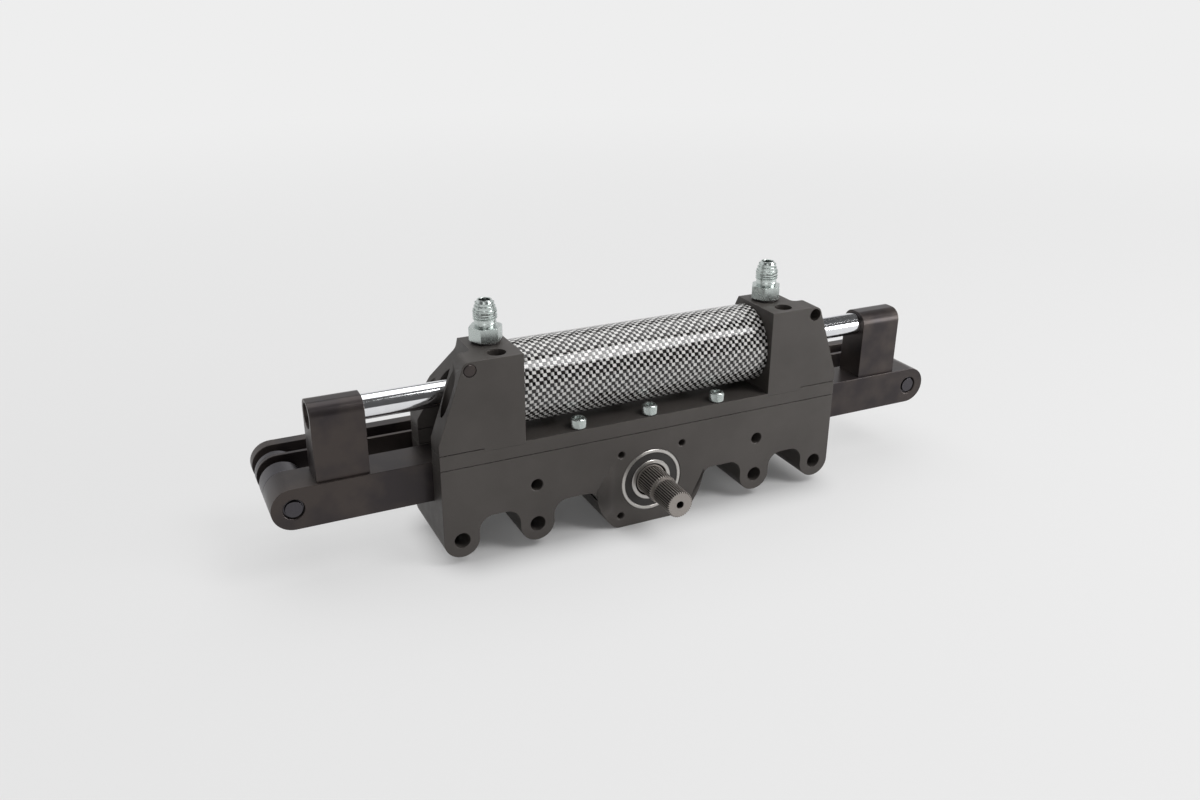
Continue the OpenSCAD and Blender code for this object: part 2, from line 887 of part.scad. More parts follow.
// Rod bracket, a tall block with two rounded top edges, a little narrower than the bar
module rod_bracket() {
    front = rack_front + bracket_setback;
    back = rack_back - bracket_setback;
    r = bracket_round;
    difference() {
        from_side(bracket_x - bracket_length / 2, bracket_x + bracket_length / 2) {
            translate([front, rack_top])
                square([back - front, bracket_top - r - rack_top]);
            translate([front + r, rack_top])
                square([back - front - 2 * r, bracket_top - rack_top]);
            translate([front + r, bracket_top - r])
                circle(r = r);
            translate([back - r, bracket_top - r])
                circle(r = r);
        }
        rod_x(rod_radius, bracket_x - bracket_length, bracket_x + bracket_length);
        for (dx = [-bracket_bolt_dx, bracket_bolt_dx])
            translate([bracket_x + dx, mid_y, rack_top - 1])
                cylinder(r = bracket_bolt_radius, h = bracket_bolt_top - rack_top + 2);
    }
}

module right_rod_bracket() {
    color([0.16, 0.155, 0.16])
        rod_bracket();
}

module left_rod_bracket() {
    color([0.16, 0.155, 0.16])
        mirror([1, 0, 0])
            rod_bracket();
}

// Socket head cap screw standing on its tip at z0, head seat at z1
module cap_screw(z0, z1, shank_r, head_r, head_h, socket_r) {
    difference() {
        union() {
            translate([0, 0, z0])
                cylinder(r = shank_r, h = z1 - z0 + 0.1);
            translate([0, 0, z1])
                rotate_extrude()
                    polygon([[0, 0], [head_r, 0], [head_r, head_h - 0.5],
                             [head_r - 0.5, head_h], [0, head_h]]);
        }
        translate([0, 0, z1 + head_h * 0.45])
            cylinder(r = socket_r, h = head_h, $fn = 6);
    }
}

module bracket_bolts() {
    color([0.2, 0.2, 0.2])
        both_sides()
            for (dx = [-bracket_bolt_dx, bracket_bolt_dx])
                translate([bracket_x + dx, mid_y, 0])
                    mirror([0, 0, 1])
                        cap_screw(-bracket_bolt_top, -bracket_bolt_seat, bracket_bolt_radius,
                                  5, 6, 2.9);
}

module piston_rod() {
    color([0.85, 0.86, 0.87])
        turned_x()
            polygon([[0, -rod_end], [rod_radius - 0.6, -rod_end], [rod_radius, 0.6 - rod_end],
                     [rod_radius, rod_end - 0.6], [rod_radius - 0.6, rod_end], [0, rod_end]]);
}

module piston() {
    color([0.6, 0.6, 0.62])
        turned_x()
            difference() {
                translate([rod_radius, -12])
                    square([tube_bore - 0.15 - rod_radius, 24]);
                translate([17, -2])
                    square([5, 4]);
                translate([18.3, -9])
                    square([5, 3]);
                translate([18.3, 6])
                    square([5, 3]);
            }
}

module piston_seal() {
    color([0.1, 0.1, 0.1])
        turned_x()
            translate([17, -2])
                square([tube_bore - 17.05, 4]);
}

module piston_wear_rings() {
    color([0.35, 0.22, 0.12])
        turned_x() {
            translate([18.3, -9])
                square([tube_bore - 18.36, 3]);
            translate([18.3, 6])
                square([tube_bore - 18.36, 3]);
        }
}

module cover_screws() {
    color([0.75, 0.77, 0.78])
        front_and_back() {
            both_sides()
                translate([screw_x, screw_y, 0])
                    cap_screw(screw_floor + 2, plate_top, screw_radius, 4.3, 5, 2.3);
            translate([0, screw_y, 0])
                cap_screw(screw_floor + 3.5, plate_top, screw_radius, 4.3, 5, 2.3);
        }
}

module block_bolts() {
    color([0.2, 0.2, 0.2])
        both_sides()
            front_and_back() {
                translate([bolt_inner_x, bolt_y, 0])
                    cap_screw(bolt_floor + 2, bolt_seat_z, bolt_radius, 4.7, 6.3, 2.8);
                translate([bolt_outer_x, bolt_y, 0])
                    cap_screw(bolt_floor + 2, bolt_seat_z, bolt_radius, 4.7, 6.3, 2.8);
            }
}

rack_housing();
cover_plate();
left_end_block();
right_end_block();
cylinder_tube();
tube_sleeve();
tube_o_rings();
left_port_fitting();
right_port_fitting();
fitting_o_rings();
block_plug();
rod_bushings();
rod_seals();
rod_wipers();
front_bearing_outer_ring();
front_bearing_inner_ring();
front_bearing_balls();
front_bearing_seals();
rear_bearing_outer_ring();
rear_bearing_inner_ring();
rear_bearing_balls();
pinion_shaft();
rack_bar();
rack_bushings();
inner_strap();
rear_strap();
front_spacers();
rear_spacers();
clevis_pins();
clevis_nuts();
left_rod_bracket();
right_rod_bracket();
bracket_bolts();
piston_rod();
piston();
piston_seal();
piston_wear_rings();
cover_screws();
block_bolts();
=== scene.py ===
# %% [markdown]
# # A power assisted steering rack
#
# The CAD model already holds every piece of this steering rack at its real size. This lesson dresses it:
# it gives each surface the finish that the real metal has, breaks the sharp machined edges, and cuts the
# threads and knurls that are too fine for the CAD model. Everything is in metres, in the CAD model's frame:
# X runs along the rack, Y runs back from the front face, and Z is up. The pinion's axis is at the origin.

import math

import bpy
from mathutils import Matrix, Vector


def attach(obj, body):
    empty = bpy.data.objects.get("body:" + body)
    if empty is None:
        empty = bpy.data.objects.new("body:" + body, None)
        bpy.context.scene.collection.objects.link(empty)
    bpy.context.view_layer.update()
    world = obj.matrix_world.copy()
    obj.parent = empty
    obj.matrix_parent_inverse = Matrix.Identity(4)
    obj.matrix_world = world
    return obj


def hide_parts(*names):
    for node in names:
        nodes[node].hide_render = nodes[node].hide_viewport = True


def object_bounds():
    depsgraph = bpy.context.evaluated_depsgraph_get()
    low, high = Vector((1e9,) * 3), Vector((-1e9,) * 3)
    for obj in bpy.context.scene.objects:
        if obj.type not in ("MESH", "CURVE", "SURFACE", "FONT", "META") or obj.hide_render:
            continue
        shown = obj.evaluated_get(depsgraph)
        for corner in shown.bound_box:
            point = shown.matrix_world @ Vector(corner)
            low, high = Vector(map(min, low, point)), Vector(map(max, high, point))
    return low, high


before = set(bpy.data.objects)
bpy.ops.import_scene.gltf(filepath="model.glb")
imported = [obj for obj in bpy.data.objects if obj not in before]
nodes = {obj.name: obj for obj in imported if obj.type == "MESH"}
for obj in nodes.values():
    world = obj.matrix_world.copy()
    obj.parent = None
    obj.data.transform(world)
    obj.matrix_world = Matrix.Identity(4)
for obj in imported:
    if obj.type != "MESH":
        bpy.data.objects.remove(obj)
cad_low, cad_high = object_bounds()
MM = 0.001
print("CAD nodes:", len(nodes), "box:", [round(v / MM, 1) for v in (*cad_low, *cad_high)])

# %% [markdown]
# ## The camera
#
# The photograph was taken from the front left, a little above the part. The camera was solved from the
# straight edges and circles of the part itself, which gives a focal length, a place and two angles. The
# matrix is built from the camera's own right, up and forward directions, because that leaves no doubt about
# which way a rotation turns.

# %% Place the camera
FOCAL_PIXELS = 1057.6
PHOTO_WIDTH = 1200
SENSOR_WIDTH = 36.0
TURN = math.radians(25.856)
DIP = math.radians(23.198)
ROLL = math.radians(0.403)
CAMERA_PLACE = Vector((-289.83, -522.49, 310.22)) * MM


def camera_matrix(place, turn, dip, roll):
    """A camera at place that looks along +Y turned to +X by turn, down by dip, and leans by roll."""
    forward = Vector((math.sin(turn) * math.cos(dip), math.cos(turn) * math.cos(dip), -math.sin(dip)))
    right = Vector((math.cos(turn), -math.sin(turn), 0))
    up = right.cross(forward)
    leaning_right = math.cos(roll) * right + math.sin(roll) * up
    leaning_up = -math.sin(roll) * right + math.cos(roll) * up
    turned = Matrix((leaning_right, leaning_up, -forward)).transposed()
    return Matrix.Translation(place) @ turned.to_4x4()


lens = bpy.data.cameras.new("photo_camera")
lens.sensor_width = SENSOR_WIDTH
lens.lens = FOCAL_PIXELS / PHOTO_WIDTH * SENSOR_WIDTH
lens.clip_start = 0.01
lens.clip_end = 200
camera = bpy.data.objects.new("photo_camera", lens)
camera.matrix_world = camera_matrix(CAMERA_PLACE, TURN, DIP, ROLL)
bpy.context.scene.collection.objects.link(camera)
bpy.context.scene.camera = camera
print("camera lens:", round(lens.lens, 2), "mm")

# %% [markdown]
# ## Helpers for materials
#
# Colours are written as sRGB hex values, the way a paint program shows them, and one function turns them to
# the linear numbers that Blender works in. One small function adds a shader node, sets its options and
# fills its inputs, either with a number or with a link from another node.

# %% Colour and node helpers
def hex_colour(text):
    """Linear RGBA of an sRGB hex colour such as 504B47."""
    shares = [int(text[i:i + 2], 16) / 255 for i in (0, 2, 4)]
    linear = [s / 12.92 if s <= 0.04045 else ((s + 0.055) / 1.055) ** 2.4 for s in shares]
    return (*linear, 1.0)


def add_node(tree, kind, inputs=None, **settings):
    """Adds one shader node. An input's value is a number, a colour or another node's socket."""
    made = tree.nodes.new("ShaderNode" + kind)
    for name, value in settings.items():
        setattr(made, name, value)
    for key, value in (inputs or {}).items():
        if isinstance(value, bpy.types.NodeSocket):
            tree.links.new(value, made.inputs[key])
        else:
            made.inputs[key].default_value = value
    return made


def new_material(name):
    """An empty node material with its output, and the tree to build it in."""
    material = bpy.data.materials.new(name)
    material.use_nodes = True
    material.node_tree.nodes.clear()
    return material, material.node_tree


def finish_surface(tree, shader):
    """Links a shader to a new material output."""
    output = add_node(tree, "OutputMaterial")
    tree.links.new(shader.outputs[0], output.inputs["Surface"])


def math_node(tree, operation, first, second=0.0, third=0.0):
    """The result of one Math node."""
    return add_node(tree, "Math", {0: first, 1: second, 2: third}, operation=operation).outputs[0]


def blend_colours(tree, share, first, second):
    """A colour between two others. The share is a number or a socket."""
    mixed = add_node(tree, "Mix", {0: share, 6: first, 7: second}, data_type="RGBA")
    return mixed.outputs[2]


def noise_at(tree, millimetres, detail=3.0, stretch=(1, 1, 1)):
    """Noise whose blobs are about that many millimetres across, fixed to the object."""
    place = add_node(tree, "TexCoord").outputs["Object"]
    fitted = add_node(tree, "Mapping", {"Vector": place, "Scale": stretch}).outputs["Vector"]
    size = 1 / (millimetres * MM)
    return add_node(tree, "TexNoise", {"Vector": fitted, "Scale": size, "Detail": detail}).outputs["Fac"]


def remap(tree, value, low, high, to_low, to_high, curve="LINEAR"):
    """A value moved from one range to another, and held inside it."""
    fields = {"Value": value, "From Min": low, "From Max": high, "To Min": to_low, "To Max": to_high}
    return add_node(tree, "MapRange", fields, interpolation_type=curve).outputs["Result"]


def soft_box(tree, value, low, high, soft):
    """1 where a value lies between two limits, with soft edges."""
    rise = remap(tree, value, low - soft, low + soft, 0.0, 1.0)
    fall = remap(tree, value, high - soft, high + soft, 1.0, 0.0)
    return math_node(tree, "MULTIPLY", rise, fall)


def place_on_axis(tree):
    """How far a point stands from the pinion's axis, and its Y, both in millimetres."""
    place = add_node(tree, "TexCoord").outputs["Object"]
    axes = add_node(tree, "SeparateXYZ", {0: place})
    flat = add_node(tree, "CombineXYZ", {"X": axes.outputs["X"], "Y": 0.0, "Z": axes.outputs["Z"]})
    length = add_node(tree, "VectorMath", {0: flat.outputs[0]}, operation="LENGTH").outputs["Value"]
    return math_node(tree, "DIVIDE", length, MM), math_node(tree, "DIVIDE", axes.outputs["Y"], MM)


def bump(tree, height, millimetres):
    """A normal for a surface whose height map is that many millimetres high."""
    return add_node(tree, "Bump", {"Height": height, "Distance": millimetres * MM}).outputs["Normal"]


def wear(material, *names):
    """Puts a material on CAD nodes."""
    for name in names:
        slots = nodes[name].data.materials
        slots.clear()
        slots.append(material)


# %% [markdown]
# ## Hard anodised aluminium
#
# The housing, the plate and the two end blocks are milled from aluminium and hard anodised. The oxide grows
# out of the metal as a hard brown-grey skin, so the surface is dark and satin, with a very fine tooth from
# the blasting before the bath and a slightly uneven tone from the alloy. It is drawn as a partly metallic
# surface with a broad tone noise and a fine bump. The real tooth is under 0.1 mm, too fine to show here, so
# it is drawn at 0.35 mm.

# %% Hard anodised aluminium
def hard_anodised_aluminium():
    """The satin brown-grey skin of the housing, the plate and the blocks."""
    material, tree = new_material("hard_anodised_aluminium")
    tone = remap(tree, noise_at(tree, 45), 0.35, 0.65, 0.0, 1.0)
    colour = blend_colours(tree, tone, hex_colour("423E3B"), hex_colour("4A4643"))
    tooth = noise_at(tree, 0.35, detail=2.0)
    gloss = remap(tree, noise_at(tree, 8), 0.3, 0.7, 0.48, 0.56)
    shader = add_node(tree, "BsdfPrincipled", {
        "Base Color": colour,
        "Metallic": 0.2,
        "Roughness": gloss,
        "Normal": bump(tree, tooth, 0.02),
    })
    finish_surface(tree, shader)
    return material


anodised = hard_anodised_aluminium()
wear(anodised, "rack_housing", "cover_plate", "left_end_block", "right_end_block")
print("anodised nodes wear", anodised.name)

# %% [markdown]
# ## Black oxide steel
#
# The rack bar, the straps, the brackets and the bolts are steel, blackened in a hot salt bath. The oxide is
# thin, so the metal shines through it with a brown cast in some places and a violet one in others, in soft
# clouds. The clouds are one noise at 25 mm, and the machining marks a second noise pulled long along X.

# %% Black oxide steel
def black_oxide_steel():
    """Blackened steel with brown and violet clouds and marks along X."""
    material, tree = new_material("black_oxide_steel")
    clouds = remap(tree, noise_at(tree, 25), 0.4, 0.62, 0.0, 1.0)
    marks = noise_at(tree, 0.8, detail=2.0, stretch=(0.04, 1, 1))
    colour = blend_colours(tree, clouds, hex_colour("353031"), hex_colour("453E3B"))
    shader = add_node(tree, "BsdfPrincipled", {
        "Base Color": colour,
        "Metallic": 0.6,
        "Roughness": remap(tree, clouds, 0.0, 1.0, 0.30, 0.40),
        "Normal": bump(tree, marks, 0.01),
    })
    finish_surface(tree, shader)
    return material


oxide = black_oxide_steel()
wear(oxide, "rack_bar", "inner_strap", "rear_strap", "left_rod_bracket", "right_rod_bracket",
     "bracket_bolts", "block_bolts", "block_plug")
print("steel nodes wear", oxide.name)

# %% [markdown]
# ## Plain metals
#
# The other metals differ in colour and in how smooth they are, so one function makes them all. The chrome
# of the piston rod is ground and polished, zinc plate is a soft pale grey with a green cast, the pins are
# blued dark, and bronze and bare aluminium are turned. A fine noise keeps each from looking like paint.

# %% Plain metals
def plain_metal(name, dark, light, roughness, grain_mm, stretch=(1, 1, 1), depth_mm=0.004):
    """A metal whose colour and smoothness vary a little with one fine grain."""
    material, tree = new_material(name)
    grain = noise_at(tree, grain_mm, detail=2.0, stretch=stretch)
    shader = add_node(tree, "BsdfPrincipled", {
        "Base Color": blend_colours(tree, grain, hex_colour(dark), hex_colour(light)),
        "Metallic": 1.0,
        "Roughness": remap(tree, grain, 0.3, 0.7, roughness * 0.85, roughness * 1.15),
        "Normal": bump(tree, grain, depth_mm),
    })
    finish_surface(tree, shader)
    return material


chrome = plain_metal("hard_chrome", "E2E3E6", "EEEFF1", 0.12, 3.0, (1, 0.1, 0.1), 0.0003)
wear(chrome, "piston_rod")
zinc = plain_metal("zinc_plate", "BCC4C1", "CDD4D1", 0.28, 2.5)
wear(zinc, "left_port_fitting", "right_port_fitting", "cover_screws")
pin_steel = plain_metal("blued_pin_steel", "454346", "535155", 0.34, 1.0)
wear(pin_steel, "clevis_pins", "clevis_nuts", "front_spacers", "rear_spacers")
bronze = plain_metal("bearing_bronze", "A97B45", "BE9058", 0.35, 0.7)
wear(bronze, "rod_bushings", "rack_bushings")
turned_aluminium = plain_metal("turned_aluminium", "B4B6BA", "C9CBCF", 0.3, 0.6, (3, 1, 1))
wear(turned_aluminium, "cylinder_tube", "piston")
print("plain metals:", ", ".join(m.name for m in (chrome, zinc, pin_steel, bronze, turned_aluminium)))

# %% [markdown]
# ## The bearing and the splined shaft
#
# Both are ground or hobbed steel. The chamfer of the bearing's bore gets a painted shade, dark where it lies
# in shadow, and the grooves between the splines get a painted shade that makes them read deep, while the
# crests keep the steel's own colour. The distance from the pinion's axis tells a crest from a groove, and Y
# tells the front spline, the cone and the rear spline apart.

# %% Bearing steel and splined shaft
# Radii over which the painted shade in the bearing bore's chamfer fades out.
BORE_SHADE_EDGE = (10.8, 11.1)
FRONT_SPLINE = 8.5
REAR_SPLINE = 9.5
CONE = (-17.6, -15.0)
SHAFT_TIP = -36.8
# Depths below the crest over which the painted shade in the spline grooves grows.
GROOVE_SHADE = (0.06, 0.5)


def ground_bearing_steel():
    """Bright ground rings with a painted shade inside the bore's chamfer."""
    material, tree = new_material("ground_bearing_steel")
    radius, _ = place_on_axis(tree)
    grain = noise_at(tree, 0.8, detail=2.0)
    steel = blend_colours(tree, grain, hex_colour("B3B0AC"), hex_colour("C9C6C2"))
    # Painted shade: the bore's chamfer is painted dark, as if it lay in shadow.
    painted_bore_shade = remap(tree, radius, *BORE_SHADE_EDGE, 1.0, 0.0)
    shader = add_node(tree, "BsdfPrincipled", {
        "Base Color": blend_colours(tree, painted_bore_shade, steel, hex_colour("2B2725")),
        "Metallic": 1.0,
        "Roughness": 0.34,
        "Normal": bump(tree, grain, 0.004),
    })
    finish_surface(tree, shader)
    return material


def hobbed_shaft_steel():
    """Steel with a painted shade in the splines' grooves; the crests keep the steel's own colour."""
    material, tree = new_material("hobbed_shaft_steel")
    radius, y = place_on_axis(tree)
    crest = remap(tree, y, *CONE, FRONT_SPLINE, REAR_SPLINE)
    depth = math_node(tree, "SUBTRACT", crest, radius)
    # Painted shade: the grooves are painted darker the deeper they lie below the crest.
    painted_groove_shade = remap(tree, depth, *GROOVE_SHADE, 0.0, 1.0)
    on_splines = soft_box(tree, y, SHAFT_TIP + 0.06, 0.2, 0.04)
    off_cone = math_node(tree, "SUBTRACT", 1.0, soft_box(tree, y, CONE[0] - 0.9, CONE[1] + 0.1, 0.1))
    painted_groove_shade = math_node(tree, "MULTIPLY", painted_groove_shade, math_node(tree, "MULTIPLY", on_splines, off_cone))
    grain = noise_at(tree, 0.9, detail=2.0, stretch=(1, 0.2, 1))
    steel = blend_colours(tree, grain, hex_colour("8F8984"), hex_colour("A39D98"))
    shader = add_node(tree, "BsdfPrincipled", {
        "Base Color": blend_colours(tree, painted_groove_shade, steel, hex_colour("211D1B")),
        "Metallic": 0.75,
        "Roughness": 0.45,
        "Normal": bump(tree, grain, 0.01),
    })
    finish_surface(tree, shader)
    return material


bearing_steel = ground_bearing_steel()
wear(bearing_steel, "front_bearing_outer_ring", "front_bearing_inner_ring", "front_bearing_balls",
     "rear_bearing_outer_ring", "rear_bearing_inner_ring", "rear_bearing_balls")
shaft_steel = hobbed_shaft_steel()
wear(shaft_steel, "pinion_shaft")
print("bearings wear", bearing_steel.name, "and the shaft", shaft_steel.name)

# %% [markdown]
# ## Rubber and phenolic
#
# The seals and O-rings are black nitrile rubber, moulded and satin, and the piston's guide rings are brown
# phenolic cloth. Both are plain dielectrics with a little grain.

# %% Rubber and phenolic
def moulded(name, dark, light, roughness):
    """A moulded plastic or rubber with a fine grain."""
    material, tree = new_material(name)
    grain = noise_at(tree, 0.8, detail=2.0)
    shader = add_node(tree, "BsdfPrincipled", {
        "Base Color": blend_colours(tree, grain, hex_colour(dark), hex_colour(light)),
        "Roughness": roughness,
        "Normal": bump(tree, grain, 0.01),
    })
    finish_surface(tree, shader)
    return material


rubber = moulded("nitrile_rubber", "1E1B1A", "2A2725", 0.55)
wear(rubber, "tube_o_rings", "fitting_o_rings", "rod_seals", "rod_wipers", "front_bearing_seals",
     "piston_seal")
phenolic = moulded("phenolic_cloth", "4C3421", "5F442D", 0.6)
wear(phenolic, "piston_wear_rings")
print("moulded nodes wear", rubber.name, "and", phenolic.name)

# %% [markdown]
# ## The wrapped cylinder
#
# The cylinder is covered with a printed film that looks like silver and black woven cloth under a clear
# gloss. The print is a grid of four cells: a pale cell that fades in from the left, a black cell, an even
# pale cell and a dark grey one. Each row is 2.19 mm high and starts 2.6 mm further along than the row below
# it, which gives the twill's diagonals. The surface's own arc length and X give the grid's two directions,
# so the pattern follows the cylinder with no stretch.

# %% Silver and black twill under clear gloss
SLEEVE_RADIUS = 25.4
SLEEVE_Y = 28.5
SLEEVE_Z = 70.7
TWILL_ROWS = 73
TWILL_PERIOD = 9.0
TWILL_SHIFT = 2.62
TWILL_TILT = 0.028
ROW_SPAN = (0.05, 0.95)
BLACK_ROW_SPAN = (0.12, 0.95)
FADING_CELL = (0.03, 0.25)
BLACK_CELL = (0.25, 0.48)
EVEN_CELL = (0.48, 0.74)
CELL_BLUR = 0.02


def twill_film():
    """Rows of pale, black and dark grey cells round the cylinder, under a clear coat."""
    material, tree = new_material("silver_black_twill_film")
    place = add_node(tree, "TexCoord").outputs["Object"]
    axes = add_node(tree, "SeparateXYZ", {0: place})
    along = math_node(tree, "DIVIDE", axes.outputs["X"], MM)
    back = math_node(tree, "SUBTRACT", axes.outputs["Y"], SLEEVE_Y * MM)
    up = math_node(tree, "SUBTRACT", axes.outputs["Z"], SLEEVE_Z * MM)
    front = math_node(tree, "MULTIPLY", back, -1.0)
    turn = math_node(tree, "ARCTAN2", up, front)
    arc = math_node(tree, "MULTIPLY_ADD", turn, TWILL_ROWS / math.tau, 0.5 * TWILL_ROWS)
    row_height = math.tau * SLEEVE_RADIUS / TWILL_ROWS
    lifted = math_node(tree, "MULTIPLY_ADD", along, TWILL_TILT / row_height, arc)
    row = math_node(tree, "FLOOR", lifted)
    across = math_node(tree, "FRACT", lifted)
    slid = math_node(tree, "MULTIPLY_ADD", row, -TWILL_SHIFT, along)
    cell = math_node(tree, "FRACT", math_node(tree, "DIVIDE", slid, TWILL_PERIOD))
    between_rows = soft_box(tree, across, *ROW_SPAN, 0.06)
    fading = math_node(tree, "MULTIPLY", soft_box(tree, cell, *FADING_CELL, CELL_BLUR),
                       remap(tree, cell, 0.0, 0.2, 0.2, 1.0))
    even = soft_box(tree, cell, *EVEN_CELL, CELL_BLUR)
    pale = math_node(tree, "MULTIPLY", math_node(tree, "MAXIMUM", fading, even), between_rows)
    black = soft_box(tree, cell, *BLACK_CELL, CELL_BLUR)
    black = math_node(tree, "MULTIPLY", black, soft_box(tree, across, *BLACK_ROW_SPAN, 0.08))
    ground = blend_colours(tree, black, hex_colour("1B1918"), hex_colour("040303"))
    colour = blend_colours(tree, pale, ground, hex_colour("CFCECC"))
    shader = add_node(tree, "BsdfPrincipled", {
        "Base Color": colour,
        "Specular IOR Level": 0.0,
        "Roughness": 0.5,
        "Coat Weight": 1.0,
        "Coat Roughness": 0.06,
        "Coat IOR": 1.5,
    })
    finish_surface(tree, shader)
    return material


film = twill_film()
wear(film, "tube_sleeve")
print("the sleeve wears", film.name)

# %% [markdown]
# ## Breaking the machined edges
#
# Every edge that comes off a milling machine is broken by hand or by a chamfer cutter, because a sharp one
# cuts the fitter and the seals. The break is a fifth to a third of a millimetre, yet it is what the eye
# reads as machined metal: each edge catches a thin line of light, and where two pieces meet, the two breaks
# leave a fine dark seam. A copy of the CAD mesh is merged, its flat faces are made whole again, and a bevel
# that only takes the sharp edges is applied. The plate and the end blocks have slots cut into flat faces
# with many holes. Such faces are drawn anew as triangles before the bevel, so that none reaches across a
# slot once the bevel has moved its corners.
#
# The small holes in the front face are countersunk with a cone, as on a drill press. A little is taken off
# the plate's two flat sides, which opens the seams that the photograph shows above and below it. Each CAD
# node stays as it is, hidden behind its copy.

# %% Pieces with broken edges
NODE_MERGE = 0.002
HOUSING_MERGE = 0.06
FLAT_WITHIN = math.radians(0.15)
SHARP_ABOVE = math.radians(35)


def select_only(piece):
    """Makes one piece the only selected and active one."""
    bpy.ops.object.select_all(action="DESELECT")
    piece.select_set(True)
    bpy.context.view_layer.objects.active = piece


def copied(node, merge_within=NODE_MERGE):
    """A piece at the origin with a copy of a CAD node's mesh, its loose triangles merged."""
    piece = bpy.data.objects.new(node + "_finished", nodes[node].data.copy())
    bpy.context.scene.collection.objects.link(piece)
    select_only(piece)
    bpy.ops.object.mode_set(mode="EDIT")
    bpy.ops.mesh.select_all(action="SELECT")
    bpy.ops.mesh.remove_doubles(threshold=merge_within * MM)
    bpy.ops.object.mode_set(mode="OBJECT")
    return piece


def make_faces_whole(piece, split_again=False):
    """Joins the triangles of each flat face, or draws them anew, and turns all normals outward."""
    select_only(piece)
    bpy.ops.object.mode_set(mode="EDIT")
    bpy.ops.mesh.select_all(action="SELECT")
    bpy.ops.mesh.dissolve_limited(angle_limit=FLAT_WITHIN)
    if split_again:
        bpy.ops.mesh.quads_convert_to_tris(quad_method="BEAUTY", ngon_method="BEAUTY")
    bpy.ops.mesh.normals_make_consistent(inside=False)
    bpy.ops.object.mode_set(mode="OBJECT")


def apply_modifier(piece, modifier):
    """Makes a modifier's result the piece's own mesh."""
    select_only(piece)
    bpy.ops.object.modifier_apply(modifier=modifier.name)


def break_edges(piece, millimetres, smooth_below=22):
    """Bevels the sharp edges and shades the result so that flat faces stay flat."""
    bevel = piece.modifiers.new("broken_edges", "BEVEL")
    bevel.width = millimetres * MM
    bevel.segments = 2
    bevel.limit_method = "ANGLE"
    bevel.angle_limit = SHARP_ABOVE
    bevel.use_clamp_overlap = False
    apply_modifier(piece, bevel)
    select_only(piece)
    bpy.ops.object.shade_smooth_by_angle(angle=math.radians(smooth_below))
    weighted = piece.modifiers.new("flat_faces_lead", "WEIGHTED_NORMAL")
    weighted.keep_sharp = True
    apply_modifier(piece, weighted)


def countersink(piece, centres, radius, depth):
    """Cuts a cone of that depth into the front rims of holes drilled along Y."""
    for x, z in centres:
        bpy.ops.object.select_all(action="DESELECT")
        bpy.ops.mesh.primitive_cone_add(
            vertices=40, radius1=(radius + depth + 0.2) * MM, radius2=(radius - 0.2) * MM,
            depth=(depth + 0.4) * MM, location=Vector((x, depth / 2, z)) * MM,
            rotation=(math.radians(-90), 0, 0))
        cutter = bpy.context.object
        cut = piece.modifiers.new("countersink", "BOOLEAN")
        cut.operation = "DIFFERENCE"
        cut.object = cutter
        apply_modifier(piece, cut)
        bpy.data.objects.remove(cutter)


def open_seams(piece, millimetres):
    """Takes a little off a plate's two flat sides, so that a dark seam shows above and below it."""
    heights = [vertex.co.z for vertex in piece.data.vertices]
    for vertex in piece.data.vertices:
        if vertex.co.z > max(heights) - 0.01 * MM:
            vertex.co.z -= millimetres * MM
        elif vertex.co.z < min(heights) + 0.01 * MM:
            vertex.co.z += millimetres * MM


def hand_over(piece, material, body, slot_name, *replaced):
    """Gives a piece its material and body, and hides the CAD nodes that it stands for. The slot name is not
    used.
    """
    piece.data.materials.clear()
    piece.data.materials.append(material)
    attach(piece, body)
    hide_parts(*replaced)


FACE_HOLES = [(x, z) for x in (-21.4, 21.4) for z in (-21.4, 21.4)]
UPPER_HOLES = [(-78.0, 13.4), (78.0, 13.4)]
SLOTTED = ("cover_plate", "left_end_block", "right_end_block")
BROKEN_EDGES = {
    "rack_housing": ("housing", "hard_anodised_aluminium", anodised, 0.22),
    "cover_plate": ("housing", "hard_anodised_aluminium", anodised, 0.18),
    "left_end_block": ("housing", "hard_anodised_aluminium", anodised, 0.22),
    "right_end_block": ("housing", "hard_anodised_aluminium", anodised, 0.22),
    "rack_bar": ("rack", "black_oxide_steel", oxide, 0.3),
    "inner_strap": ("rack", "black_oxide_steel", oxide, 0.25),
    "rear_strap": ("rack", "black_oxide_steel", oxide, 0.3),
    "left_rod_bracket": ("rack", "black_oxide_steel", oxide, 0.35),
    "right_rod_bracket": ("rack", "black_oxide_steel", oxide, 0.35),
    "front_spacers": ("rack", "pin_steel", pin_steel, 0.3),
    "rear_spacers": ("rack", "pin_steel", pin_steel, 0.3),
    "clevis_pins": ("rack", "pin_steel", pin_steel, 0.2),
    "clevis_nuts": ("rack", "pin_steel", pin_steel, 0.15),
}
for node_name, (body, slot_name, material, width) in BROKEN_EDGES.items():
    piece = copied(node_name, HOUSING_MERGE if node_name == "rack_housing" else NODE_MERGE)
    if node_name == "rack_housing":
        countersink(piece, FACE_HOLES, 2.1, 0.6)
        countersink(piece, UPPER_HOLES, 3.7, 0.4)
    elif node_name == "cover_plate":
        open_seams(piece, 0.4)
    make_faces_whole(piece, split_again=node_name in SLOTTED)
    break_edges(piece, width)
    hand_over(piece, material, body, slot_name, node_name)
    print(node_name, len(piece.data.polygons), "faces after its edges are broken")

# %% [markdown]
# ## The flare fittings
#
# A hose screws onto each fitting, so it has a real thread, 18 turns to the inch. On the lathe the nose is
# turned to the bullet shape that seals in the hose's cone, and the thread is cut into the shank below it.
# Here the rings of points of the copied fitting are moved to the turned profile, with the shank at the
# thread's root, and a ridge is wound round it: a strip of a grid whose long side runs along the helix and
# whose short side is the ridge's profile. The ridge runs out to nothing at both ends, as a cut thread does.
# One ridge is made at the origin, and each fitting takes a copy of it.

